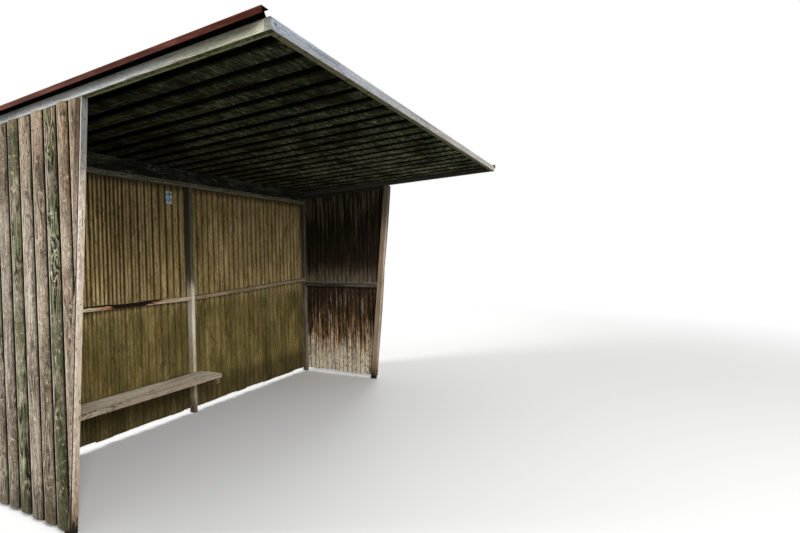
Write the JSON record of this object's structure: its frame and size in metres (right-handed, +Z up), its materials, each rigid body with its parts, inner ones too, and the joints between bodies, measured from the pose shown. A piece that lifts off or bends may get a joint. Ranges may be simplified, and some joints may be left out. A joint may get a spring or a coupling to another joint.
{
  "type": "bus shelter",
  "caption": "Open-fronted timber bus shelter with upright log-lap boarding, leaning front posts, a plank bench and a thin ribbed roof with a deep front overhang.",
  "frame": {"origin": "on the ground, below the middle of the roof's plan", "axes": "+X along the shelter to the right as seen from the open front, -Y out of the open front, +Z up"},
  "size_m": [3.766, 2.8582, 2.6184],
  "materials": {
    "post": "weathered",
    "rail": "weathered",
    "header": "weathered",
    "roof_beam": "weathered",
    "side_boards": "weathered",
    "back_boards": "weathered",
    "bench": "weathered",
    "roof_sheet": "matt",
    "trim": "matt"
  },
  "bodies": {
    "root": {"front_post_left": "post", "front_post_right": "post", "back_post_left": "post", "back_post_middle": "post", "back_post_right": "post", "head_plate": "rail", "header_beam": "header", "back_rail_left": "rail", "back_rail_right": "rail", "side_top_rail_left": "rail", "side_top_rail_right": "rail", "side_rail_left": "rail", "side_rail_right": "rail", "front_fascia": "roof_beam", "rear_beam": "roof_beam", "verge_beam_left": "roof_beam", "verge_beam_right": "roof_beam", "boards_left": "side_boards", "boards_right": "side_boards", "boards_back_left": "back_boards", "boards_back_right": "back_boards", "roof_sheet_1": "roof_sheet", "roof_sheet_2": "roof_sheet", "roof_sheet_3": "roof_sheet", "roof_sheet_4": "roof_sheet", "verge_trim_left": "trim", "verge_trim_right": "trim", "bench_seat": "bench", "bench_cleat": "bench", "bench_bearer": "bench"}
  },
  "joints": []
}
